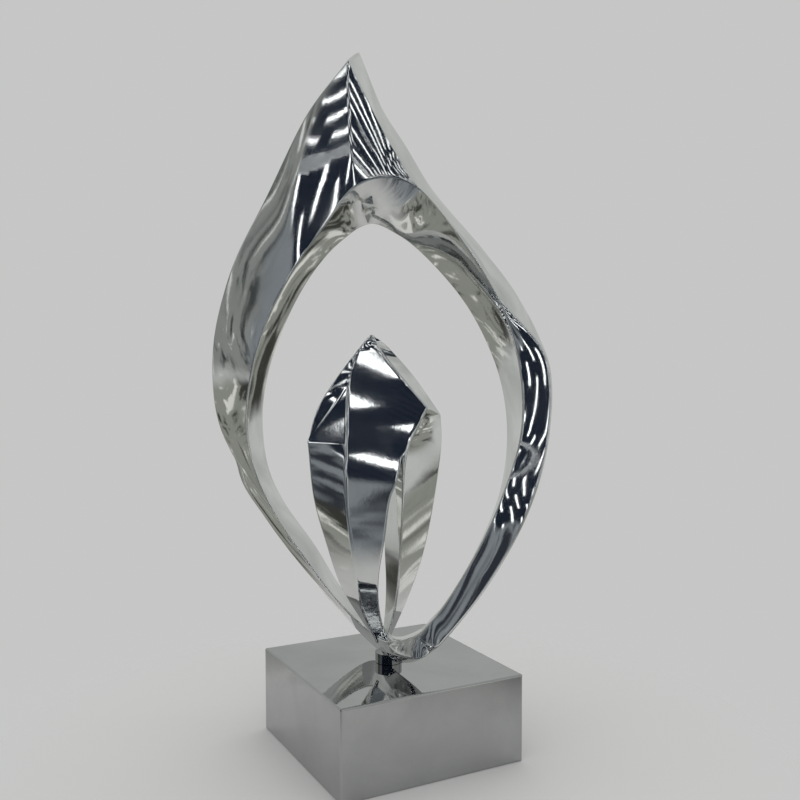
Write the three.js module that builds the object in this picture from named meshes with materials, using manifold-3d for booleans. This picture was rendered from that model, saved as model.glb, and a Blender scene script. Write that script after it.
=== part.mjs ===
// Abstract metal sculpture: a twisted, faceted flame loop with a slotted bud
// standing inside it, on a square plinth. Millimetres, +Z up, front towards -Y.
// The origin is the centre of the plinth's underside, and the loop stands
// along one diagonal of the plinth, which is the X axis.
import * as THREE from 'three';
import { mergeVertices } from 'three/addons/utils/BufferGeometryUtils.js';
import Module from 'manifold-3d';

const wasm = await Module();
wasm.setup();

// ---------------------------------------------------------------- dimensions
const GAP = 0.3; // clearance between pieces that touch
const CORNER_GAP = 2 * GAP; // the loop's corners are cleared by more than its faces

const PLINTH_SIDE = 180;
const PLINTH_HEIGHT = 80;
const PLINTH_BEVEL = 1.2;

// The loop is a band of five faces that runs round an open flame shape.
const LOOP_CENTRE = { x: -5, z: 300 }; // the point that its clock angles turn about
const LOOP_STEPS = 5; // slices from one section to the next
const SWAY_TIP = 16; // how far the limbs leave the loop's plane near the tip
const SWAY_FOOT = 27; // and near the foot
const SWAY_MEAN = -4; // the foot stands this far in front of the plinth's centre

// One row for each section, clockwise from the tip as seen from the front.
// First the clock angle in degrees, then the five corners as [radius, depth]:
// inner front, outer front, outer back, back ridge, inner back. The depth is
// counted from the swaying middle line of the band, positive to the back. A
// third number turns that corner to a clock angle of its own.
const LOOP_SECTIONS = [
  [355, [220, -20], [342, 5, 354.2], [355, 26], [327, 34], [191, 18]],
  [362.5, [228, -20], [257, -8], [262, 5], [267, 28], [180, 18]],
  [370, [220, -19], [221.5, -17], [223, -13], [226, 22], [166, 18]],
  [388, [179, -17], [181, -16], [183, -14], [187, 19], [139, 17]],
  [405, [158, -16], [160, -15], [162, -13], [171, 17], [123, 17]],
  [426, [140, -15], [165, -16], [166, -12], [160, 18], [113, 18]],
  [450, [132, -14], [156.5, -16], [157, -12], [146, 19], [113, 19]],
  [475, [130.5, -12], [156.5, -15], [157, -11], [147, 18], [123, 18]],
  [500, [145, -10], [169, -13], [170, -9], [160, 16], [142, 16]],
  [518, [171, -9], [193, -12], [194, -8], [184, 12], [169, 14]],
  [523, [180, -9], [201, -12], [203, -8], [196, 6], [178, 14]],
  [527, [187, -8], [189, -9], [207.5, -13], [209.5, -4], [186, 14]],
  [536, [194.5, -8], [196.5, -8], [205, -9], [217, 3], [196, 14]],
  [544, [193.5, -8], [195.5, -8], [214, 9], [209, 16], [191, 14]],
  [558, [174, -9], [176, -9], [192.5, 12], [185, 20], [173, 15]],
  [575, [152.5, -10], [154.5, -10], [173.5, 13], [163, 21], [147, 15]],
  [595, [143, -12], [145, -11], [168, 14], [156, 22], [141, 16]],
  [610, [139, -14], [154, -7], [171.5, 14], [155, 23], [138.5, 16]],
  [630, [130.5, -16], [167, -5], [164, 15], [148, 24], [130, 18]],
  [652, [129, -18], [180.5, -4], [175, 17], [150, 26], [127.5, 18]],
  [674, [142, -19], [207, -3], [201, 20], [170, 28], [139.5, 18]],
  [694, [166.5, -20], [248.5, 1], [247, 23], [212, 31], [162.5, 18]],
  [706, [191, -20], [302, 4], [305, 25], [265, 33], [180.5, 18]],
];
const LOOP_RAILS = 5;
const PEAKED_RAILS = [1, 2, 3]; // the outer rails come to a point at the tip

// The bud is a faceted pod. It is turned about its foot, and its own frame has
// x across the pod, y to the back and z up from the plinth's underside.
const BUD_PLACE = { x: -5, y: 0 };
const BUD_TURN = THREE.MathUtils.degToRad(30);
const BUD_TOP = 386;
const BUD_FOOT = 98;
const BUD_ROWS = 36;

// Its front face is one smooth bow that leans a little to the left.
const BUD_FRONT = { z: 226, depth: 30, middle: -10, lean: 0.19 };
const BUD_FRONT_BOW_UP = 0.00127;
const BUD_FRONT_BOW_DOWN = 0.00195;
const BUD_FRONT_STRAIGHT = 150; // below this height the face runs straight to the foot
const BUD_BACK = { z: 265, depth: 28 };
const BUD_BACK_BOW_UP = 0.0021;
const BUD_BACK_BOW_DOWN = 0.0008;
const BUD_BACK_EDGES = [0.72, 0.3]; // their places between the left and right edges

// Its edges as [x, z]: from the tip to the shoulder, then down to the foot.
const BUD_APEX = [-11, 387];
const BUD_LEFT = [
  [BUD_APEX, [-18, 380], [-34.5, 360], [-62, 319], [-71.5, 287]],
  [[-71.5, 287], [-66, 236], [-55, 195], [-40, 151], [-20.5, 118], [-6, 97]],
];
const BUD_FRONT_LEFT = [
  [BUD_APEX, [-17.5, 380], [-26.5, 364], [-32, 351], [-34.8, 339]],
  [[-34.8, 339], [-38.3, 290], [-39, 235], [-32, 180], [-23.4, 135], [-7.5, 97]],
];
const BUD_FRONT_RIGHT = [
  [BUD_APEX, [-5, 374], [15.3, 346], [35.6, 320]],
  [[35.6, 320], [16.2, 282], [11.5, 240], [9.4, 180], [8.7, 141], [2, 97]],
];
const BUD_RIGHT = [
  [BUD_APEX, [1, 379], [28, 350], [56, 311]],
  [[56, 311], [57, 285], [47.5, 218], [36.5, 171], [21, 131], [5, 97]],
];

// The slot that runs through the pod, seen from the front. It is cut askew,
// turned about this upright line.
const BUD_SLOT_AXIS = { x: 4, y: -24 };
const BUD_SLOT_TURN = THREE.MathUtils.degToRad(3);
const BUD_SLOT = [
  [11, 276], [6, 253], [0, 238], [-4.7, 201], [-8.6, 165], [-7, 140], [-2, 118], [3, 107],
  [6, 125], [8, 150], [8.3, 185], [10, 235],
];

// A short round neck lifts the loop off the plinth.
const NECK = { x: 0.5, y: -1.5, radius: 12.5, top: 89.5 };
const NECK_SIDES = 32;

// ----------------------------------------------------------------- materials
function polishedSteel(tint) {
  return new THREE.MeshStandardMaterial({ color: tint, roughness: 0.06, metalness: 1 });
}

// ------------------------------------------------------------------- helpers
// A closed body from rings of equal length. The rings follow each other along
// the body, and the first follows the last again when the body is a ring.
function skin(rings, isRing) {
  const size = rings[0].length;
  const positions = rings.flat().flatMap((p) => [p.x, p.y, p.z]);
  const faces = [];
  const spans = isRing ? rings.length : rings.length - 1;
  for (let i = 0; i < spans; i += 1) {
    const near = i * size;
    const far = ((i + 1) % rings.length) * size;
    for (let k = 0; k < size; k += 1) {
      const next = (k + 1) % size;
      faces.push(near + k, far + k, far + next);
      faces.push(near + k, far + next, near + next);
    }
  }
  if (!isRing) {
    const last = (rings.length - 1) * size;
    for (let k = 1; k < size - 1; k += 1) {
      faces.push(0, k, k + 1);
      faces.push(last, last + k + 1, last + k);
    }
  }
  const geometry = new THREE.BufferGeometry();
  geometry.setAttribute('position', new THREE.Float32BufferAttribute(positions, 3));
  geometry.setIndex(faces);
  return geometry;
}

function toSolid(geometry) {
  const bare = geometry.clone();
  bare.deleteAttribute('normal');
  bare.deleteAttribute('uv');
  const merged = mergeVertices(bare, 1e-4);
  const corners = Array.from(merged.index.array);
  const kept = [];
  for (let i = 0; i < corners.length; i += 3) {
    const face = corners.slice(i, i + 3);
    if (new Set(face).size === 3) kept.push(...face); // corners that meet leave no face
  }
  return new wasm.Manifold(new wasm.Mesh({
    numProp: 3,
    vertProperties: new Float32Array(merged.attributes.position.array),
    triVerts: new Uint32Array(kept),
  }));
}

function toGeometry(solid) {
  const { vertProperties, triVerts } = solid.getMesh();
  const geometry = new THREE.BufferGeometry();
  geometry.setAttribute('position', new THREE.BufferAttribute(vertProperties, 3));
  geometry.setIndex(new THREE.BufferAttribute(triVerts, 1));
  return geometry;
}

function namedMesh(name, geometry, material) {
  const mesh = new THREE.Mesh(geometry, material);
  mesh.name = name;
  return mesh;
}

// ---------------------------------------------------------------------- loop
// The band's middle line leaves the plane y = 0: the left limb stands back at
// the foot and forward near the tip, and the right limb does the opposite.
function sway(clock) {
  const angle = THREE.MathUtils.degToRad(clock);
  const low = (1 - Math.cos(angle)) / 2; // 0 at the tip, 1 at the foot
  const reach = THREE.MathUtils.lerp(SWAY_TIP, SWAY_FOOT, low);
  const softness = 0.8 - 0.5 * low ** 3;
  const turn = Math.sin(2 * angle);
  return reach * turn / Math.hypot(turn, softness) + SWAY_MEAN * low;
}

function loopCorner(sectionClock, [radius, depth, ownClock]) {
  const clock = ownClock ?? sectionClock;
  const angle = THREE.MathUtils.degToRad(clock);
  return new THREE.Vector3(
    LOOP_CENTRE.x + radius * Math.sin(angle),
    sway(clock) + depth,
    LOOP_CENTRE.z + radius * Math.cos(angle),
  );
}

function grown(ring, margin) {
  const middle = ring.reduce((sum, p) => sum.add(p), new THREE.Vector3());
  middle.divideScalar(ring.length);
  return ring.map((p) => p.clone().addScaledVector(p.clone().sub(middle).normalize(), margin));
}

// The loop's body, grown by a margin on every side.
function loopGeometry(margin = 0) {
  const rails = [];
  for (let rail = 0; rail < LOOP_RAILS; rail += 1) {
    const corners = LOOP_SECTIONS.map(([clock, ...section]) => loopCorner(clock, section[rail]));
    const peaked = PEAKED_RAILS.includes(rail);
    if (peaked) corners.push(corners[0].clone());
    rails.push(new THREE.CatmullRomCurve3(corners, !peaked, 'centripetal'));
  }
  const slices = LOOP_SECTIONS.length * LOOP_STEPS;
  const rings = [];
  for (let i = 0; i < slices; i += 1) {
    rings.push(grown(rails.map((rail) => rail.getPoint(i / slices)), margin));
  }
  return skin(rings, true);
}

// ----------------------------------------------------------------------- bud
// An edge's x at any height.
function edgeAt(parts) {
  const points = parts.flatMap((part) => new THREE.CatmullRomCurve3(
    part.map(([x, z]) => new THREE.Vector3(x, 0, z)), false, 'centripetal').getPoints(60));
  return (z) => {
    const next = Math.max(points.findIndex((p) => p.z <= z), 1);
    const above = points[next - 1];
    const below = points[next];
    const share = above.z > below.z ? (above.z - z) / (above.z - below.z) : 0;
    return THREE.MathUtils.lerp(above.x, below.x, share);
  };
}

function budFrontDepth(x, z) {
  const bow = z > BUD_FRONT.z ? BUD_FRONT_BOW_UP : BUD_FRONT_BOW_DOWN;
  const bent = Math.max(z, BUD_FRONT_STRAIGHT) - BUD_FRONT.z;
  const straight = Math.max(BUD_FRONT_STRAIGHT - z, 0);
  const slope = 2 * BUD_FRONT_BOW_DOWN * (BUD_FRONT.z - BUD_FRONT_STRAIGHT);
  const middle = BUD_FRONT.depth - bow * bent * bent - slope * straight;
  return Math.max(middle + BUD_FRONT.lean * (x - BUD_FRONT.middle), 0.5);
}

function budBackDepth(z) {
  const bow = z > BUD_BACK.z ? BUD_BACK_BOW_UP : BUD_BACK_BOW_DOWN;
  return Math.max(BUD_BACK.depth - bow * (z - BUD_BACK.z) ** 2, 0.5);
}

// A crease runs down from a front edge's shoulder to the corner of the side edge.
function creaseAt(front, side) {
  const frontAt = edgeAt(front);
  const sideAt = edgeAt(side);
  const [shoulderX, shoulderZ] = front[1][0];
  const [cornerX, cornerZ] = side[1][0];
  return (z) => {
    if (z >= shoulderZ) return new THREE.Vector3(frontAt(z), -budFrontDepth(frontAt(z), z), z);
    if (z <= cornerZ) return new THREE.Vector3(sideAt(z), 0, z);
    const share = (shoulderZ - z) / (shoulderZ - cornerZ);
    return new THREE.Vector3(
      THREE.MathUtils.lerp(shoulderX, cornerX, share),
      THREE.MathUtils.lerp(-budFrontDepth(shoulderX, shoulderZ), 0, share),
      z,
    );
  };
}

// Level rings of eight corners, from the tip down.
function budRings() {
  const [left, frontLeft, frontRight, right] = [
    BUD_LEFT, BUD_FRONT_LEFT, BUD_FRONT_RIGHT, BUD_RIGHT].map(edgeAt);
  const leftCrease = creaseAt(BUD_FRONT_LEFT, BUD_LEFT);
  const rightCrease = creaseAt(BUD_FRONT_RIGHT, BUD_RIGHT);
  const levels = Array.from({ length: BUD_ROWS + 1 }, (_, i) => (
    THREE.MathUtils.lerp(BUD_TOP, BUD_FOOT, i / BUD_ROWS)));
  [BUD_LEFT, BUD_FRONT_LEFT, BUD_FRONT_RIGHT, BUD_RIGHT].forEach((edge) => levels.push(edge[1][0][1]));
  levels.sort((a, b) => b - a);
  return levels.map((z) => {
    const onFront = (x) => new THREE.Vector3(x, -budFrontDepth(x, z), z);
    const onBack = (share) => new THREE.Vector3(
      THREE.MathUtils.lerp(left(z), right(z), share), budBackDepth(z), z);
    return [
      new THREE.Vector3(left(z), 0, z), leftCrease(z), onFront(frontLeft(z)),
      onFront(frontRight(z)), rightCrease(z), new THREE.Vector3(right(z), 0, z),
      ...BUD_BACK_EDGES.map(onBack),
    ];
  });
}

function budGeometry(loopCutter) {
  const pod = toSolid(skin(budRings(), false));
  const slotOutline = new THREE.SplineCurve(BUD_SLOT.map(([x, z]) => new THREE.Vector2(x, z)));
  const slot = new THREE.ExtrudeGeometry(
    new THREE.Shape(slotOutline.getPoints(3 * BUD_SLOT.length)),
    { depth: 200, bevelEnabled: false },
  );
  slot.translate(-BUD_SLOT_AXIS.x, 0, -100);
  slot.rotateX(Math.PI / 2);
  slot.rotateZ(BUD_SLOT_TURN);
  slot.translate(BUD_SLOT_AXIS.x, BUD_SLOT_AXIS.y, 0);
  return toGeometry(pod.subtract(toSolid(slot)).subtract(toSolid(loopCutter)));
}

// -------------------------------------------------------------------- plinth
function plinthGeometry() {
  const half = PLINTH_SIDE / 2 - PLINTH_BEVEL;
  const outline = new THREE.Shape([
    new THREE.Vector2(-half, -half),
    new THREE.Vector2(half, -half),
    new THREE.Vector2(half, half),
    new THREE.Vector2(-half, half),
  ]);
  const geometry = new THREE.ExtrudeGeometry(outline, {
    depth: PLINTH_HEIGHT - 2 * PLINTH_BEVEL,
    bevelSize: PLINTH_BEVEL,
    bevelThickness: PLINTH_BEVEL,
    bevelSegments: 1,
  });
  geometry.translate(0, 0, PLINTH_BEVEL);
  return geometry;
}

// ---------------------------------------------------------------------- neck
function neckGeometry(loopCutter) {
  const foot = PLINTH_HEIGHT + GAP;
  const height = NECK.top - foot;
  const geometry = new THREE.CylinderGeometry(NECK.radius, NECK.radius, height, NECK_SIDES);
  geometry.rotateX(Math.PI / 2);
  geometry.translate(NECK.x, NECK.y, foot + height / 2);
  return toGeometry(toSolid(geometry).subtract(toSolid(loopCutter)));
}

// ------------------------------------------------------------------ assembly
const group = new THREE.Group();

const plinth = namedMesh('plinth', plinthGeometry(), polishedSteel(0xb9bbba));
plinth.rotation.z = Math.PI / 4;
group.add(plinth);

const loop = namedMesh('flame_loop', loopGeometry(), polishedSteel(0xc4c6c5));
group.add(loop);

const budPlace = new THREE.Matrix4()
  .makeRotationZ(BUD_TURN)
  .setPosition(BUD_PLACE.x, BUD_PLACE.y, 0);
const budCutter = loopGeometry(CORNER_GAP).applyMatrix4(budPlace.clone().invert());
const bud = namedMesh('bud', budGeometry(budCutter), polishedSteel(0xc4c6c5));
bud.applyMatrix4(budPlace);
group.add(bud);

group.add(namedMesh('neck', neckGeometry(loopGeometry(CORNER_GAP)), polishedSteel(0x9fa1a0)));

export default group;
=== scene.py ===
"""Abstract mirror-polished steel sculpture: a twisted flame loop and a slotted bud on a square plinth."""

import math

import bmesh
import bpy
import numpy as np
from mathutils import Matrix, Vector, noise


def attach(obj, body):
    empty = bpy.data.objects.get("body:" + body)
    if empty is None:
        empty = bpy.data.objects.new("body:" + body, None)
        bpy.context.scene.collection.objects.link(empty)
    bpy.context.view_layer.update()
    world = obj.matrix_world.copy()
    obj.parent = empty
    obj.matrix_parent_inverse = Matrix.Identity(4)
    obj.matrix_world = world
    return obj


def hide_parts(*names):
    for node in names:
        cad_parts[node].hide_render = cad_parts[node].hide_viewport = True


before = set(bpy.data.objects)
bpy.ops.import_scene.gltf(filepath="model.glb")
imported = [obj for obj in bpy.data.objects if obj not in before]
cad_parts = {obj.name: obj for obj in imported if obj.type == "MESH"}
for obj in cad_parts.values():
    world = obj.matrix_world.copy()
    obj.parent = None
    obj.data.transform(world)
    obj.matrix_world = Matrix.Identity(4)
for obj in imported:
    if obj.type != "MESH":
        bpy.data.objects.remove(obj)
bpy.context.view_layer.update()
MM = 0.001

# ------------------------------------------------------------------ sizes, in millimetres
PLINTH_SIDE = 180.0
PLINTH_HEIGHT = 80.0
PLINTH_ROUND = 1.3

LOOP_CENTRE = (-5.0, 300.0)
SWAY_TIP, SWAY_FOOT, SWAY_MEAN = 16.0, 27.0, -4.0
# each row: the section's clock angle, then its corners as (radius, depth[, own clock]),
# in the order inner front, outer front, outer back, back ridge, inner back
LOOP_SECTIONS = [
    (355, (220, -20), (342, 5, 354.2), (355, 26), (327, 34), (191, 18)),
    (362.5, (228, -20), (257, -8), (262, 5), (267, 28), (180, 18)),
    (370, (220, -19), (221.5, -17), (223, -13), (226, 22), (166, 18)),
    (388, (179, -17), (181, -16), (183, -14), (187, 19), (139, 17)),
    (405, (158, -16), (160, -15), (162, -13), (171, 17), (123, 17)),
    (426, (140, -15), (165, -16), (166, -12), (160, 18), (113, 18)),
    (450, (132, -14), (156.5, -16), (157, -12), (146, 19), (113, 19)),
    (475, (130.5, -12), (156.5, -15), (157, -11), (147, 18), (123, 18)),
    (500, (145, -10), (169, -13), (170, -9), (160, 16), (142, 16)),
    (518, (171, -9), (193, -12), (194, -8), (184, 12), (169, 14)),
    (523, (180, -9), (201, -12), (203, -8), (196, 6), (178, 14)),
    (527, (187, -8), (189, -9), (207.5, -13), (209.5, -4), (186, 14)),
    (536, (194.5, -8), (196.5, -8), (205, -9), (217, 3), (196, 14)),
    (544, (193.5, -8), (195.5, -8), (214, 9), (209, 16), (191, 14)),
    (558, (174, -9), (176, -9), (192.5, 12), (185, 20), (173, 15)),
    (575, (152.5, -10), (154.5, -10), (173.5, 13), (163, 21), (147, 15)),
    (595, (143, -12), (145, -11), (168, 14), (156, 22), (141, 16)),
    (610, (139, -14), (154, -7), (171.5, 14), (155, 23), (138.5, 16)),
    (630, (130.5, -16), (167, -5), (164, 15), (148, 24), (130, 18)),
    (652, (129, -18), (180.5, -4), (175, 17), (150, 26), (127.5, 18)),
    (674, (142, -19), (207, -3), (201, 20), (170, 28), (139.5, 18)),
    (694, (166.5, -20), (248.5, 1), (247, 23), (212, 31), (162.5, 18)),
    (706, (191, -20), (302, 4), (305, 25), (265, 33), (180.5, 18)),
]
PEAKED_RAILS = (1, 2, 3)
LOOP_STEPS = 20  # slices from one section to the next
LOOP_CROWN = 0.022  # how far a face swells at its middle, as a share of its width
EDGE = 1.7  # how far an edge's rounding reaches along each face
ARC = 6  # points round an edge
SIDE = 12  # points across a face
SUPPORT = 0.8  # the first point beside an edge, which keeps the face's shading flat

BUD_PLACE = (-5.0, 0.0)
BUD_TURN = math.radians(30)
BUD_TOP, BUD_BOTTOM = 386.0, 98.0
BUD_ROW = 1.6  # height of one row of its mesh
# the front face is one smooth bow that leans a little to the left
BUD_FRONT_Z, BUD_FRONT_DEPTH, BUD_FRONT_MIDDLE, BUD_FRONT_LEAN = 226.0, 30.0, -10.0, 0.19
BUD_FRONT_BOW_UP, BUD_FRONT_BOW_DOWN, BUD_FRONT_STRAIGHT = 0.00127, 0.00195, 150.0
BUD_BACK_Z, BUD_BACK_DEPTH, BUD_BACK_BOW_UP, BUD_BACK_BOW_DOWN = 265.0, 28.0, 0.0021, 0.0008
BUD_BACK_EDGES = (0.3, 0.72)
# edges from the tip down to the shoulder, then to the foot, as (x, z)
BUD_APEX = (-11, 387)
BUD_LEFT = [
    [BUD_APEX, (-18, 380), (-34.5, 360), (-62, 319), (-71.5, 287)],
    [(-71.5, 287), (-66, 236), (-55, 195), (-40, 151), (-20.5, 118), (-6, 97)],
]
BUD_FRONT_LEFT = [
    [BUD_APEX, (-17.5, 380), (-26.5, 364), (-32, 351), (-34.8, 339)],
    [(-34.8, 339), (-38.3, 290), (-39, 235), (-32, 180), (-23.4, 135), (-7.5, 97)],
]
BUD_FRONT_RIGHT = [
    [BUD_APEX, (-5, 374), (15.3, 346), (35.6, 320)],
    [(35.6, 320), (16.2, 282), (11.5, 240), (9.4, 180), (8.7, 141), (2, 97)],
]
BUD_RIGHT = [
    [BUD_APEX, (1, 379), (28, 350), (56, 311)],
    [(56, 311), (57, 285), (47.5, 218), (36.5, 171), (21, 131), (5, 97)],
]
SLOT_LEFT = [(11, 276), (6, 253), (0, 238), (-4.7, 201), (-8.6, 165), (-7, 140), (-2, 118), (3, 107)]
SLOT_RIGHT = [(11, 276), (10, 235), (8.3, 185), (8, 150), (6, 125), (3, 107)]
SLOT_SKEW = math.tan(math.radians(3))
SLOT_AXIS_Y = -24.0


# unevenness of each skin: seed, long wave and its height, short wave and its height
LOOP_RIPPLE = (3.1, 70.0, 0.2, 19.0, 0.012)
BUD_RIPPLE = (7.7, 60.0, 0.1, 22.0, 0.006)
PLINTH_RIPPLE = (1.3, 120.0, 0.12, 40.0, 0.012)
RIPPLE_SEED = 1  # a set seed, because otherwise the noise differs from run to run


# ------------------------------------------------------------------ curves
def spline_point(points, closed, t):
    """A point of a centripetal Catmull-Rom curve, t from 0 to 1."""
    n = len(points)
    place = (n if closed else n - 1) * t
    i = int(math.floor(place))
    w = place - i
    if not closed and i == n - 1:
        i, w = n - 2, 1.0
    p1, p2 = points[i % n], points[(i + 1) % n]
    p0 = points[(i - 1) % n] if closed or i > 0 else 2 * points[0] - points[1]
    p3 = points[(i + 2) % n] if closed or i + 2 < n else 2 * points[n - 1] - points[n - 2]
    d0, d1, d2 = (max(math.dist(a, b), 1e-8) ** 0.5 for a, b in ((p0, p1), (p1, p2), (p2, p3)))
    m1 = ((p1 - p0) / d0 - (p2 - p0) / (d0 + d1) + (p2 - p1) / d1) * d1
    m2 = ((p2 - p1) / d1 - (p3 - p1) / (d1 + d2) + (p3 - p2) / d2) * d1
    return (
        p1
        + m1 * w
        + (3 * (p2 - p1) - 2 * m1 - m2) * w**2
        + (2 * (p1 - p2) + m1 + m2) * w**3
    )


def rounded(corners, reach=EDGE, arc=ARC):
    """For each corner of a closed outline, the points of its rounding.

    Corners that coincide share one rounding.
    """
    n = len(corners)
    groups = []
    for k in range(n):
        if groups and math.dist(corners[k], corners[groups[-1][-1]]) < 1e-6:
            groups[-1].append(k)
        else:
            groups.append([k])
    if len(groups) > 1 and math.dist(corners[groups[0][0]], corners[groups[-1][-1]]) < 1e-6:
        groups[0] = groups.pop() + groups[0]
    out = [None] * n
    for g, members in enumerate(groups):
        here = corners[members[0]]
        before, after = corners[groups[g - 1][0]], corners[groups[(g + 1) % len(groups)][0]]
        la, lb = math.dist(here, before), math.dist(here, after)
        start = here + (before - here) * (min(reach, 0.45 * la) / la)
        end = here + (after - here) * (min(reach, 0.45 * lb) / lb)
        for m, k in enumerate(members):
            ts = [(m + j / (arc - 1)) / len(members) for j in range(arc)]
            out[k] = [start * (1 - t) ** 2 + here * (2 * t * (1 - t)) + end * t**2 for t in ts]
    return out


def across(a, b, count=SIDE):
    """Points between a and b, with one close to each end."""
    length = max(math.dist(a, b), 1e-9)
    near = min(SUPPORT / length, 0.5 / (count + 1))
    places = [near] + [j / (count - 1) for j in range(1, count - 1)] + [1 - near]
    return [a + (b - a) * t for t in places]


def crowned(a, b, middle):
    """Points between a and b on a face that swells a little away from the middle of its section."""
    width = max(math.dist(a, b), 1e-9)
    along = (b - a) / width
    out = (a + b) / 2 - middle
    out = out - along * float(out @ along)
    out = out / max(float(np.linalg.norm(out)), 1e-9)
    swollen = []
    for p in across(a, b):
        t = math.dist(a, p) / width
        swollen.append(p + out * (4 * LOOP_CROWN * width * t * (1 - t)))
    return swollen


# ------------------------------------------------------------------ mesh helpers
noise.seed_set(RIPPLE_SEED)


def ripple(point, seed, long_wave, long_height, short_wave, short_height):
    """The slight unevenness of hand-finished sheet metal."""
    p = Vector(point)
    shift = Vector((seed, -seed, 2.0 * seed))
    return (
        noise.noise_vector(p / long_wave + shift) * long_height
        + noise.noise_vector(p / short_wave + shift) * short_height
    )


def even(point):
    return 1.0


def mesh_object(name, vertices, faces, unevenness, strength=even):
    points = [Vector(v) for v in vertices]
    points = [p + ripple(p, *unevenness) * strength(p) for p in points]
    mesh = bpy.data.meshes.new(name)
    mesh.from_pydata([p * MM for p in points], [], faces)
    work = bmesh.new()
    work.from_mesh(mesh)
    bmesh.ops.remove_doubles(work, verts=work.verts, dist=0.02 * MM)
    bmesh.ops.dissolve_degenerate(work, edges=work.edges, dist=0.01 * MM)
    bmesh.ops.recalc_face_normals(work, faces=work.faces)
    for face in work.faces:
        face.smooth = True
    work.to_mesh(mesh)
    work.free()
    thing = bpy.data.objects.new(name, mesh)
    bpy.context.scene.collection.objects.link(thing)
    return thing


def grid_faces(rows, width, wrap_rows, wrap_width):
    faces = []
    for i in range(rows if wrap_rows else rows - 1):
        for k in range(width if wrap_width else width - 1):
            i2, k2 = (i + 1) % rows, (k + 1) % width
            faces.append((i * width + k, i2 * width + k, i2 * width + k2, i * width + k2))
    return faces


# ------------------------------------------------------------------ the flame loop
def sway(clock):
    angle = math.radians(clock)
    low = (1 - math.cos(angle)) / 2
    reach = SWAY_TIP + (SWAY_FOOT - SWAY_TIP) * low
    softness = 0.8 - 0.5 * low**3
    turn = math.sin(2 * angle)
    return reach * turn / math.hypot(turn, softness) + SWAY_MEAN * low


def loop_corner(section_clock, radius, depth, own_clock=None):
    clock = section_clock if own_clock is None else own_clock
    angle = math.radians(clock)
    x = LOOP_CENTRE[0] + radius * math.sin(angle)
    z = LOOP_CENTRE[1] + radius * math.cos(angle)
    return np.array((x, sway(clock) + depth, z))


def loop_strength(point):
    """The left limb is the least even part of the loop."""
    t = min(max((-50.0 - point.x) / 60.0, 0.0), 1.0)
    return 1.0 + 2.4 * t * t * (3 - 2 * t)


def loop_object():
    rails = []
    for rail in range(5):
        points = [loop_corner(row[0], *row[1 + rail]) for row in LOOP_SECTIONS]
        if rail in PEAKED_RAILS:
            points.append(points[0])
        rails.append((points, rail not in PEAKED_RAILS))
    slices = len(LOOP_SECTIONS) * LOOP_STEPS
    vertices = []
    for i in range(slices):
        corners = [spline_point(points, closed, i / slices) for points, closed in rails]
        arcs = rounded(corners)
        for k, arc in enumerate(arcs):
            vertices += arc
            vertices += crowned(arc[-1], arcs[(k + 1) % len(arcs)][0], sum(corners) / len(corners))
    width = len(vertices) // slices
    faces = grid_faces(slices, width, True, True)
    return mesh_object("loop_skin", vertices, faces, LOOP_RIPPLE, loop_strength)


# ------------------------------------------------------------------ the bud
def edge_at(parts):
    """An edge's x at any height."""
    samples = []
    for part in parts:
        points = [np.array(p, float) for p in part]
        samples += [spline_point(points, False, t) for t in np.linspace(0, 1, 120)]
    samples.sort(key=lambda p: p[1])
    heights, across_at = [p[1] for p in samples], [p[0] for p in samples]
    return lambda z: float(np.interp(z, heights, across_at))


def bud_front_depth(x, z):
    bow = BUD_FRONT_BOW_UP if z > BUD_FRONT_Z else BUD_FRONT_BOW_DOWN
    bent = max(z, BUD_FRONT_STRAIGHT) - BUD_FRONT_Z
    slope = 2 * BUD_FRONT_BOW_DOWN * (BUD_FRONT_Z - BUD_FRONT_STRAIGHT)
    middle = BUD_FRONT_DEPTH - bow * bent * bent - slope * max(BUD_FRONT_STRAIGHT - z, 0.0)
    return max(middle + BUD_FRONT_LEAN * (x - BUD_FRONT_MIDDLE), 0.5)


def bud_back_depth(z):
    bow = BUD_BACK_BOW_UP if z > BUD_BACK_Z else BUD_BACK_BOW_DOWN
    return max(BUD_BACK_DEPTH - bow * (z - BUD_BACK_Z) ** 2, 0.5)


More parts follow.
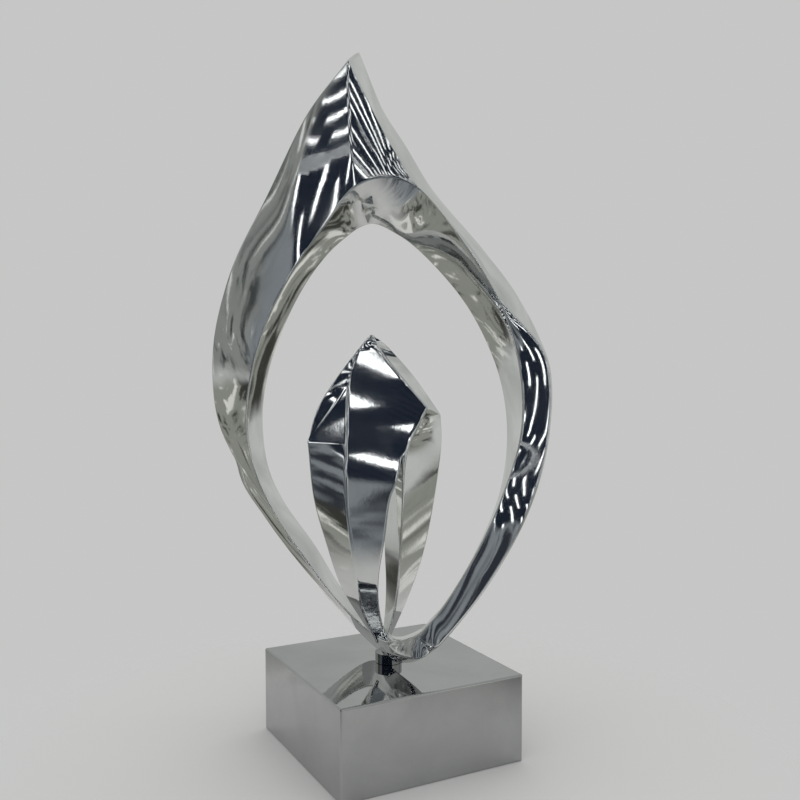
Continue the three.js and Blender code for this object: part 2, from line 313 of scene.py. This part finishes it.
def bud_object():
    left, front_left = edge_at(BUD_LEFT), edge_at(BUD_FRONT_LEFT)
    front_right, right = edge_at(BUD_FRONT_RIGHT), edge_at(BUD_RIGHT)
    slot_left, slot_right = edge_at([SLOT_LEFT]), edge_at([SLOT_RIGHT])
    slot_top, slot_foot = SLOT_LEFT[0][1], SLOT_LEFT[-1][1]
    shoulder_left, corner_left = BUD_FRONT_LEFT[1][0], BUD_LEFT[1][0]
    shoulder_right, corner_right = BUD_FRONT_RIGHT[1][0], BUD_RIGHT[1][0]
    levels = list(np.arange(BUD_BOTTOM, BUD_TOP, BUD_ROW)) + [BUD_TOP]
    levels += [p[1] for p in (shoulder_left, corner_left, shoulder_right, corner_right)]
    levels += [slot_top, slot_foot]
    levels = sorted(set(round(float(z), 2) for z in levels), reverse=True)

    def crease(z, shoulder, corner, front, side):
        """Where the crease from shoulder to side corner stands at a height, as (x, depth)."""
        if z >= shoulder[1]:
            return front(z), bud_front_depth(front(z), z)
        if z <= corner[1]:
            return side(z), 0.0
        t = (shoulder[1] - z) / (shoulder[1] - corner[1])
        return shoulder[0] + (corner[0] - shoulder[0]) * t, bud_front_depth(*shoulder) * (1 - t)

    def point(x, depth, z):
        return np.array((x, -depth, z))

    def slot_share(z):
        return (slot_left(z) - front_left(z)) / (front_right(z) - front_left(z))

    share_top, share_foot = slot_share(slot_top), slot_share(slot_foot)
    vertices, walls, rows_open = [], [], []
    for z in levels:
        l, fl, fr, r = left(z), front_left(z), front_right(z), right(z)
        cl = crease(z, shoulder_left, corner_left, front_left, left)
        cr = crease(z, shoulder_right, corner_right, front_right, right)
        back = bud_back_depth(z)
        bl, br = (l + (r - l) * t for t in BUD_BACK_EDGES)
        is_open = slot_foot < z < slot_top
        edge = {
            "l": point(l, 0.0, z),
            "cl": point(*cl, z),
            "fl": point(fl, bud_front_depth(fl, z), z),
            "fr": point(fr, bud_front_depth(fr, z), z),
            "cr": point(*cr, z),
            "r": point(r, 0.0, z),
            "br": point(br, -back, z),
            "bl": point(bl, -back, z),
        }
        for name, side in (("s", slot_left), ("t", slot_right)):
            share = share_top if z >= slot_top else share_foot
            x = side(z) if is_open else fl + (fr - fl) * share
            depth = bud_front_depth(x, z)
            edge[name] = point(x - SLOT_SKEW * (-depth - SLOT_AXIS_Y), depth, z)
            back_x = x - SLOT_SKEW * (back - SLOT_AXIS_Y)
            back_x = min(max(back_x, bl + 0.2 * (br - bl)), br - 0.1 * (br - bl))
            edge[name + "b"] = point(back_x, -back, z)
        if is_open:
            names_left = ["l", "cl", "fl", "s", "sb", "bl"]
            names_right = ["t", "fr", "cr", "r", "br", "tb"]
            arcs = dict(zip(names_left, rounded([edge[k] for k in names_left])))
            arcs.update(zip(names_right, rounded([edge[k] for k in names_right])))
        else:
            names = ["l", "cl", "fl", "fr", "cr", "r", "br", "bl"]
            arcs = dict(zip(names, rounded([edge[k] for k in names])))
            for name, towards in (("s", "fl"), ("t", "fr"), ("tb", "br"), ("sb", "bl")):
                reach = min(EDGE, 0.4 * math.dist(edge[name], edge[towards]))
                gap = max(math.dist(edge[name], edge[towards]), 1e-9)
                direction = (edge[towards] - edge[name]) / gap
                line = [edge[name] + direction * reach * (1 - j / (ARC - 1)) for j in range(ARC)]
                arcs[name] = line if name in ("s", "tb") else line[::-1]
        row = []
        order = ["l", "cl", "fl", "s", "t", "fr", "cr", "r", "br", "tb", "sb", "bl"]
        for k, name in enumerate(order):
            row += arcs[name]
            following = order[(k + 1) % len(order)]
            if name not in ("s", "tb"):
                row += across(arcs[name][-1], arcs[following][0])
        vertices.append(row)
        walls.append(
            (
                across(arcs["s"][-1], arcs["sb"][0]),
                across(arcs["tb"][-1], arcs["t"][0]),
            )
        )
        rows_open.append(is_open)
    width = len(vertices[0])
    flat = [p for row in vertices for p in row]
    start = 0
    place = {}
    for k, name in enumerate(order):
        place[name] = (start, start + ARC - 1)
        start += ARC + (0 if name in ("s", "tb") else SIDE)
    seams = (place["s"][1], place["tb"][1])
    faces = []
    for i in range(len(levels) - 1):
        for k in range(width):
            if k in seams:
                continue
            k2 = (k + 1) % width
            faces.append((i * width + k, (i + 1) * width + k, (i + 1) * width + k2, i * width + k2))
    # the slot's two walls
    for side, (a, b) in enumerate((("s", "sb"), ("tb", "t"))):
        base = len(flat)
        for pair in walls:
            flat += pair[side]
        for i in range(len(levels) - 1):
            if not (rows_open[i] or rows_open[i + 1]):
                continue
            first, second = (
                [
                    row * width + place[a][1],
                    *(base + row * SIDE + j for j in range(SIDE)),
                    row * width + place[b][0],
                ]
                for row in (i, i + 1)
            )
            for j in range(SIDE + 1):
                faces.append((first[j], second[j], second[j + 1], first[j + 1]))
    faces.append(tuple(range(width))[::-1])
    faces.append(tuple((len(levels) - 1) * width + k for k in range(width)))
    turned = []
    c, s = math.cos(BUD_TURN), math.sin(BUD_TURN)
    for x, y, z in flat:
        turned.append((BUD_PLACE[0] + c * x - s * y, BUD_PLACE[1] + s * x + c * y, z))
    thing = mesh_object("bud_skin", turned, faces, BUD_RIPPLE)
    work = bmesh.new()
    work.from_mesh(thing.data)
    loose = [v for v in work.verts if not v.link_faces]
    bmesh.ops.delete(work, geom=loose, context="VERTS")
    work.to_mesh(thing.data)
    work.free()
    return thing


# ------------------------------------------------------------------ the plinth
def plinth_object():
    half = PLINTH_SIDE / 2

    def ticks(low, high, count):
        inner = list(np.linspace(low + PLINTH_ROUND, high - PLINTH_ROUND, count))
        steps = [0.0, PLINTH_ROUND / 3, 2 * PLINTH_ROUND / 3]
        start = [low + s for s in steps] + [inner[0], inner[0] + SUPPORT]
        end = [inner[-1] - SUPPORT, inner[-1]] + [high - s for s in steps[::-1]]
        return start + inner[1:-1] + end

    xs, zs = ticks(-half, half, 24), ticks(0.0, PLINTH_HEIGHT, 12)
    low = np.array((-half, -half, 0.0)) + PLINTH_ROUND
    high = np.array((half, half, PLINTH_HEIGHT)) - PLINTH_ROUND

    def rounded_box(p):
        p = np.array(p, float)
        core = np.clip(p, low, high)
        away = p - core
        return core + away * (PLINTH_ROUND / np.linalg.norm(away))

    vertices, faces = [], []

    def side(us, vs, make):
        base = len(vertices)
        vertices.extend(rounded_box(make(u, v)) for u in us for v in vs)
        faces.extend(tuple(base + f for f in quad) for quad in grid_faces(len(us), len(vs), False, False))

    for sign in (-half, half):
        side(xs, zs, lambda u, v: (sign, u, v))
        side(xs, zs, lambda u, v: (u, sign, v))
    for level in (0.0, PLINTH_HEIGHT):
        side(xs, xs, lambda u, v: (u, v, level))
    q = math.sqrt(0.5)
    turned = [(q * (x - y), q * (x + y), z) for x, y, z in vertices]
    return mesh_object("plinth_skin", turned, faces, PLINTH_RIPPLE)


# ------------------------------------------------------------------ node helpers
class Nodes:
    """Short names for building a node tree."""

    def __init__(self, tree):
        self.tree = tree

    def add(self, kind, **settings):
        node = self.tree.nodes.new(kind)
        for key, value in settings.items():
            setattr(node, key, value)
        return node

    def plug(self, value, socket):
        if isinstance(value, (int, float)):
            socket.default_value = value
        elif isinstance(value, tuple):
            socket.default_value = value if len(socket.default_value) == len(value) else (*value, 1.0)
        else:
            self.tree.links.new(value, socket)

    def math(self, operation, a, b=None, c=None):
        node = self.add("ShaderNodeMath", operation=operation)
        for value, socket in zip((a, b, c), node.inputs):
            if value is not None:
                self.plug(value, socket)
        return node.outputs[0]

    def step(self, value, low, high, out_low=0.0, out_high=1.0):
        node = self.add("ShaderNodeMapRange", interpolation_type="SMOOTHSTEP")
        names = ("Value", "From Min", "From Max", "To Min", "To Max")
        for name, v in zip(names, (value, low, high, out_low, out_high)):
            self.plug(v, node.inputs[name])
        return node.outputs["Result"]

    def mix(self, factor, a, b):
        node = self.add("ShaderNodeMix", data_type="RGBA")
        self.plug(factor, node.inputs["Factor"])
        self.plug(a, node.inputs[6])
        self.plug(b, node.inputs[7])
        return node.outputs[2]

    def centred(self, value):
        """How far a number is from the middle of its unit step, from 0 to 0.5."""
        return self.math("ABSOLUTE", self.math("SUBTRACT", self.math("FRACT", value), 0.5))

    def stretched(self, u, u_scale, v, v_scale):
        node = self.add("ShaderNodeCombineXYZ")
        self.plug(self.math("MULTIPLY", u, u_scale), node.inputs[0])
        self.plug(self.math("MULTIPLY", v, v_scale), node.inputs[1])
        return node.outputs[0]

    def blend(self, factor, a, b):
        """A mix of two numbers."""
        return self.math("MULTIPLY_ADD", self.math("SUBTRACT", b, a), factor, a)

    def noise(self, vector, scale, detail=2.0, roughness=0.5, distortion=0.0):
        node = self.add("ShaderNodeTexNoise")
        self.plug(vector, node.inputs["Vector"])
        names = ("Scale", "Detail", "Roughness", "Distortion")
        for name, value in zip(names, (scale, detail, roughness, distortion)):
            node.inputs[name].default_value = value
        return node.outputs["Fac"]


# ------------------------------------------------------------------ materials
MIRROR_ROUGHNESS = 0.018
SMUDGE_ROUGHNESS = 0.05  # added where the polish is cloudy
GRAIN_ROUGHNESS = 0.02
CLOUDY_SHADE = 0.9
CLOUD_SCALE, GRAIN_SCALE = 16.0, 240.0
BUMP_STRENGTH, BUMP_DISTANCE = 0.06, 0.0002


def polished_steel(name, tint, smudge=1.0):
    material = bpy.data.materials.new(name)
    material.use_nodes = True
    n = Nodes(material.node_tree)
    shader = material.node_tree.nodes["Principled BSDF"]
    shader.inputs["Metallic"].default_value = 1.0
    place = n.add("ShaderNodeTexCoord").outputs["Object"]
    cloudy = n.noise(place, CLOUD_SCALE, 4.0, 0.6, 0.4)
    grain = n.noise(place, GRAIN_SCALE, 3.0, 0.6)
    roughest = MIRROR_ROUGHNESS + SMUDGE_ROUGHNESS * smudge
    rough = n.step(cloudy, 0.35, 0.75, MIRROR_ROUGHNESS, roughest)
    rough = n.math("ADD", rough, n.math("MULTIPLY", grain, GRAIN_ROUGHNESS))
    n.plug(rough, shader.inputs["Roughness"])
    darker = tuple(CLOUDY_SHADE * v for v in tint)
    n.plug(n.mix(n.step(cloudy, 0.3, 0.7), tint, darker), shader.inputs["Base Color"])
    bump = n.add("ShaderNodeBump")
    bump.inputs["Strength"].default_value = BUMP_STRENGTH
    bump.inputs["Distance"].default_value = BUMP_DISTANCE
    n.plug(grain, bump.inputs["Height"])
    n.plug(bump.outputs["Normal"], shader.inputs["Normal"])
    return material


# ------------------------------------------------------------------ assembly
BRIGHT_TINT = (0.80, 0.81, 0.80)
LOOP_STEEL = polished_steel("loop_polished_steel", BRIGHT_TINT)
BUD_STEEL = polished_steel("bud_polished_steel", BRIGHT_TINT)
PLINTH_STEEL = polished_steel("plinth_polished_steel", (0.46, 0.47, 0.47), 0.6)
NECK_STEEL = polished_steel("neck_polished_steel", (0.40, 0.41, 0.41), 1.4)

for thing, node, slot, steel in (
    (loop_object(), "flame_loop", "loop_steel", LOOP_STEEL),
    (bud_object(), "bud", "bud_steel", BUD_STEEL),
    (plinth_object(), "plinth", "plinth_steel", PLINTH_STEEL),
):
    thing.data.materials.append(steel)
    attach(thing, "root")
    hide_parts(node)

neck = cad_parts["neck"]
neck.data.materials.clear()
neck.data.materials.append(NECK_STEEL)

# ------------------------------------------------------------------ stage, light and camera
DEG = math.radians(1)
BACKDROP = (0.56, 0.565, 0.56)
FLOOR_COLOUR = (0.6, 0.6, 0.595)
FLOOR_RADIUS, FLOOR_SIDES = 2.4, 96
FLOOR_FADE = (0.17, 0.5)  # where the floor begins and ends to melt into the backdrop


def floor_object():
    mesh = bpy.data.meshes.new("floor")
    angles = [2 * math.pi * k / FLOOR_SIDES for k in range(FLOOR_SIDES)]
    ring = [(FLOOR_RADIUS * math.cos(angle), FLOOR_RADIUS * math.sin(angle), 0.0) for angle in angles]
    mesh.from_pydata(ring, [], [tuple(range(FLOOR_SIDES))])
    thing = bpy.data.objects.new("floor", mesh)
    bpy.context.scene.collection.objects.link(thing)
    material = bpy.data.materials.new("pale_floor")
    material.use_nodes = True
    n = Nodes(material.node_tree)
    shader = material.node_tree.nodes["Principled BSDF"]
    shader.inputs["Base Color"].default_value = (*FLOOR_COLOUR, 1)
    shader.inputs["Roughness"].default_value = 0.9
    shader.inputs["Specular IOR Level"].default_value = 0.1
    place = n.add("ShaderNodeTexCoord").outputs["Object"]
    length = n.add("ShaderNodeVectorMath", operation="LENGTH")
    n.plug(place, length.inputs[0])
    fade = n.step(length.outputs["Value"], *FLOOR_FADE)
    clear = n.add("ShaderNodeBsdfTransparent")
    mix = n.add("ShaderNodeMixShader")
    n.plug(fade, mix.inputs[0])
    n.plug(shader.outputs[0], mix.inputs[1])
    n.plug(clear.outputs[0], mix.inputs[2])
    output = material.node_tree.nodes["Material Output"]
    n.plug(mix.outputs[0], output.inputs["Surface"])
    thing.data.materials.append(material)


floor_object()

# colours that the steel reflects
WALL_DARK, WALL_PALE = (0.43, 0.44, 0.43), (0.58, 0.59, 0.575)
STREAK_DARK, STREAK_DULL, STREAK_PALE = (0.05, 0.055, 0.055), (0.25, 0.26, 0.25), (0.75, 0.76, 0.74)
GROUND_DARK, GROUND_DULL, GROUND_PALE = (0.045, 0.045, 0.04), (0.27, 0.275, 0.25), (0.72, 0.72, 0.68)
CEILING_DARK, CEILING_LINE = (0.010, 0.014, 0.024), (0.026, 0.034, 0.052)
STRIP_LIGHT = (2.2, 2.25, 2.3)
HALL_DARK, HALL_DULL, HALL_PALE = (0.03, 0.035, 0.045), (0.22, 0.24, 0.26), (0.6, 0.6, 0.58)
# light on everything that isn't a mirror, from the horizon up
SOFT_LOW, SOFT_HIGH = (0.55, 0.55, 0.55), (1.15, 1.15, 1.14)
# rows of strip lights
STRIP_TILT = 62 * DEG
STRIP_PITCH = 6.4 * DEG
STRIP_LENGTH = 17 * DEG  # with the gap after it
STRIP_SHIFT = 0.37  # from one row to the next, in lengths
OVERHEAD_ROWS = 2.4  # how much closer the rows stand overhead
CEILING_LINE_PITCH = 0.9 * DEG


def pale_walls(n, direction, azimuth, azimuth_soft, height, height_soft):
    """Pale walls, duller and streaked on the left, with a patchy floor below."""
    wall_noise = n.noise(direction, 2.2, 3.0, 0.55)
    walls = n.mix(n.step(wall_noise, 0.3, 0.7), WALL_DARK, WALL_PALE)
    streaks = n.noise(n.stretched(azimuth, 9.0, height, 3.0), 1.5, 4.0, 0.6, 0.8)
    dull = n.mix(n.step(streaks, 0.36, 0.5), STREAK_DARK, STREAK_DULL)
    dull = n.mix(n.step(streaks, 0.60, 0.66), dull, STREAK_PALE)
    on_left = n.math(
        "MULTIPLY",
        n.step(azimuth_soft, -96 * DEG, -82 * DEG),
        n.step(azimuth_soft, -40 * DEG, -46 * DEG),
    )
    at_left = n.math("MULTIPLY", on_left, n.step(height_soft, -12 * DEG, -4 * DEG))
    walls = n.mix(at_left, walls, dull)
    patches = n.noise(direction, 4.5, 4.0, 0.62, 1.2)
    ground = n.mix(n.step(patches, 0.40, 0.47), GROUND_DARK, GROUND_DULL)
    ground = n.mix(n.step(patches, 0.56, 0.60), ground, GROUND_PALE)
    return n.mix(n.step(height_soft, -9 * DEG, -15 * DEG), walls, ground)


def dark_ceiling(n, direction, azimuth, height):
    """A dark lined ceiling with broken rows of strip lights."""
    cosine, sine = math.cos(STRIP_TILT), math.sin(STRIP_TILT)
    edge = n.step(azimuth, 4 * DEG, 14 * DEG, 29 * DEG, 41 * DEG)
    overhead = n.step(n.math("SUBTRACT", height, edge), 0.0, 2 * DEG)
    near_along = n.math("ADD", n.math("MULTIPLY", azimuth, cosine), n.math("MULTIPLY", height, -sine))
    near_row = n.math("ADD", n.math("MULTIPLY", azimuth, sine), n.math("MULTIPLY", height, cosine))
    along = n.blend(overhead, near_along, azimuth)
    row = n.blend(overhead, near_row, n.math("MULTIPLY", height, OVERHEAD_ROWS))
    row = n.math("MULTIPLY_ADD", n.noise(direction, 4.0, 2.0, 0.5), 0.05, row)
    row_place = n.math("DIVIDE", row, STRIP_PITCH)
    on_row = n.step(n.centred(row_place), 0.13, 0.085)
    shift = n.math("MULTIPLY", n.math("FLOOR", row_place), STRIP_SHIFT)
    piece = n.math("ADD", n.math("DIVIDE", along, STRIP_LENGTH), shift)
    strips = n.math("MULTIPLY", on_row, n.step(n.centred(piece), 0.32, 0.30))
    lines = n.centred(n.math("DIVIDE", row, CEILING_LINE_PITCH))
    ceiling = n.mix(n.step(lines, 0.30, 0.45), CEILING_DARK, CEILING_LINE)
    return n.mix(strips, ceiling, STRIP_LIGHT)


def hall_below(n, azimuth, height):
    """The hall under the ceiling, as soft dark uprights."""
    shapes = n.noise(n.stretched(azimuth, 6.0, height, 1.6), 1.0, 3.0, 0.6, 0.6)
    hall = n.mix(n.step(shapes, 0.42, 0.55), HALL_DARK, HALL_DULL)
    return n.mix(n.step(shapes, 0.62, 0.68), hall, HALL_PALE)


def background(n, colour):
    node = n.add("ShaderNodeBackground")
    n.plug(colour, node.inputs["Color"])
    return node.outputs[0]


def studio():
    """Pale plain surroundings. Only reflections see the walls, the hall and its ceiling."""
    world = bpy.data.worlds.new("studio")
    bpy.context.scene.world = world
    world.use_nodes = True
    n = Nodes(world.node_tree)
    direction = n.add("ShaderNodeTexCoord").outputs["Generated"]
    split = n.add("ShaderNodeSeparateXYZ")
    n.plug(direction, split.inputs[0])
    x, y, z = split.outputs
    azimuth = n.math("ARCTAN2", x, n.math("MULTIPLY", y, -1.0))
    height = n.math("ARCSINE", z)
    # borders that wander a little
    wobble = n.math("SUBTRACT", n.noise(direction, 3.0, 3.0, 0.5), 0.5)
    azimuth_soft = n.math("MULTIPLY_ADD", wobble, 0.35, azimuth)
    height_soft = n.math("MULTIPLY_ADD", wobble, 0.25, height)
    walls = pale_walls(n, direction, azimuth, azimuth_soft, height, height_soft)
    # the hall opens towards the front, and its ceiling comes lower to the right
    in_hall = n.math(
        "MULTIPLY",
        n.step(azimuth_soft, -52 * DEG, -45 * DEG),
        n.step(azimuth_soft, 58 * DEG, 54 * DEG),
    )
    sill = n.step(azimuth, -55 * DEG, -22 * DEG, 30 * DEG, 1 * DEG)
    above = n.step(n.math("SUBTRACT", height_soft, sill), -1.5 * DEG, 1.5 * DEG)
    room = n.mix(above, hall_below(n, azimuth, height), dark_ceiling(n, direction, azimuth, height))
    mirrored = background(n, n.mix(in_hall, walls, room))
    soft = background(n, n.mix(n.step(height, -10 * DEG, 70 * DEG), SOFT_LOW, SOFT_HIGH))
    backdrop = background(n, BACKDROP)
    path = n.add("ShaderNodeLightPath")
    lit, seen = n.add("ShaderNodeMixShader"), n.add("ShaderNodeMixShader")
    n.plug(path.outputs["Is Glossy Ray"], lit.inputs[0])
    n.plug(soft, lit.inputs[1])
    n.plug(mirrored, lit.inputs[2])
    n.plug(path.outputs["Is Camera Ray"], seen.inputs[0])
    n.plug(lit.outputs[0], seen.inputs[1])
    n.plug(backdrop, seen.inputs[2])
    n.plug(seen.outputs[0], world.node_tree.nodes["World Output"].inputs["Surface"])


studio()
bpy.context.scene.view_settings.view_transform = "Standard"

CAMERA_PLACE = (0.2661, -0.8264, 0.3702)
CAMERA_DOWN, CAMERA_TURN = 2.93, 17.13
CAMERA_LENS, CAMERA_SENSOR = 42.12, 36.0

camera_data = bpy.data.cameras.new("camera")
camera_data.lens = CAMERA_LENS
camera_data.sensor_width = CAMERA_SENSOR
camera = bpy.data.objects.new("camera", camera_data)
camera.location = CAMERA_PLACE
camera.rotation_euler = (math.radians(90 - CAMERA_DOWN), 0.0, math.radians(CAMERA_TURN))
bpy.context.scene.collection.objects.link(camera)
bpy.context.scene.camera = camera
